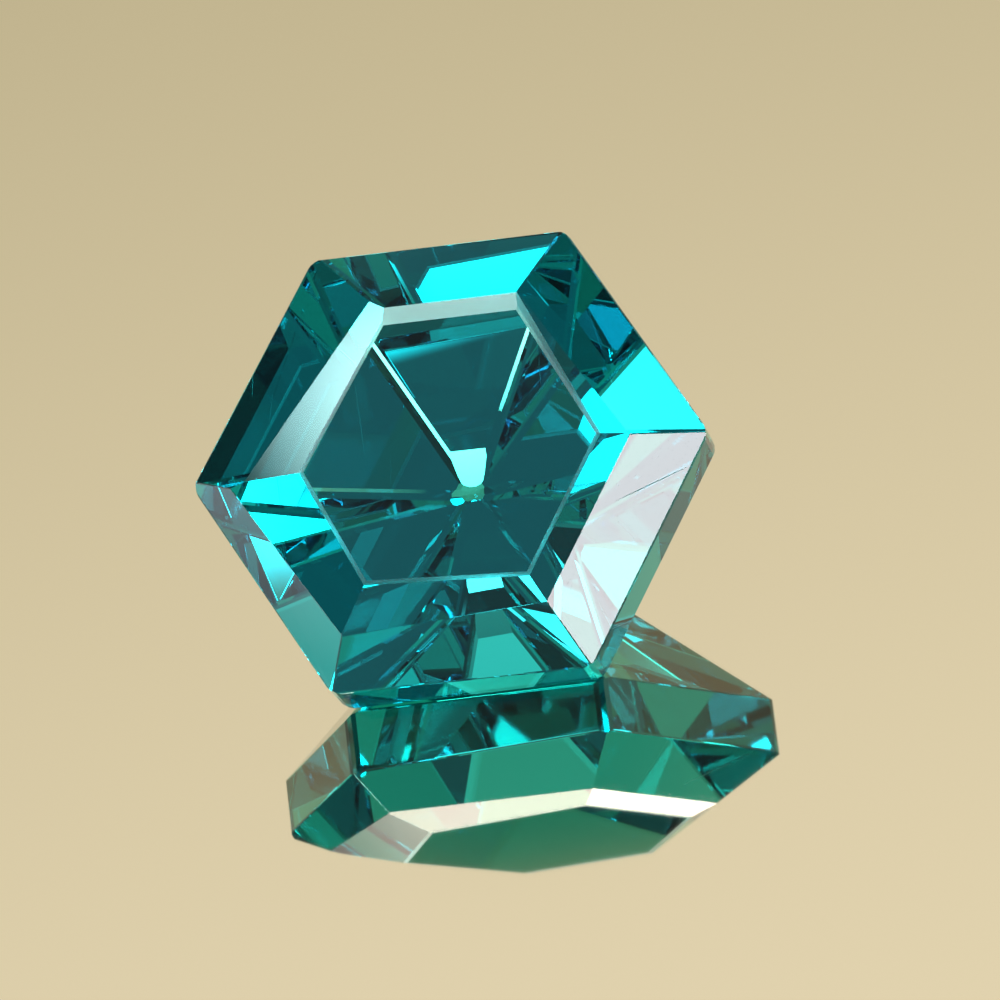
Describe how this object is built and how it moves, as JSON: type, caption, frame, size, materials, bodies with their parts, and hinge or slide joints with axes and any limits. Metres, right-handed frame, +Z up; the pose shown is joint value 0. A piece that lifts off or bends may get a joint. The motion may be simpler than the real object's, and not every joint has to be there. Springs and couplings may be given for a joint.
{
  "type": "sapphire gemstone",
  "caption": "Loose teal sapphire in a hexagonal step cut with a thick girdle, lying on a pavilion facet.",
  "frame": {"origin": "centre of the bounding box in X and Y, on the plane of the pavilion facet that the stone rests on", "axes": "+Z up from the rest facet, -Y the side that the table faces, X along the girdle edge that touches the ground"},
  "size_m": [0.0064, 0.0046, 0.0044],
  "materials": {
    "crystal": "polished, transparent deep teal sapphire"
  },
  "bodies": {
    "root": {"sapphire": "crystal"}
  },
  "joints": []
}
